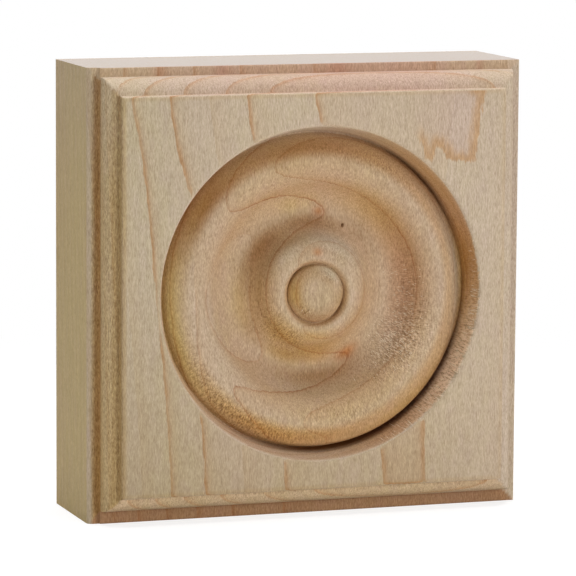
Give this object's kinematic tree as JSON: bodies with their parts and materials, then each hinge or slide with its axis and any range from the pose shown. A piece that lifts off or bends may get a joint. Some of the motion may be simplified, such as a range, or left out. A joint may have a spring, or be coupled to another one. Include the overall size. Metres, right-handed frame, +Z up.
{
  "type": "corner rosette block",
  "caption": "Square wooden corner block for door and window casing, with a stepped quarter-round moulding round its front and a turned bull's-eye rosette in its face.",
  "frame": {"origin": "middle of the flat back face that goes against the wall", "axes": "+Y into the wall, so the rosette looks along -Y; +X to the right seen from the front; +Z up, along the grain"},
  "size_m": [0.0888, 0.0286, 0.0888],
  "materials": {
    "maple": "bare sanded maple, fuzzy where the turning cuts across the grain"
  },
  "bodies": {
    "root": {"rosette_block": "maple"}
  },
  "joints": []
}
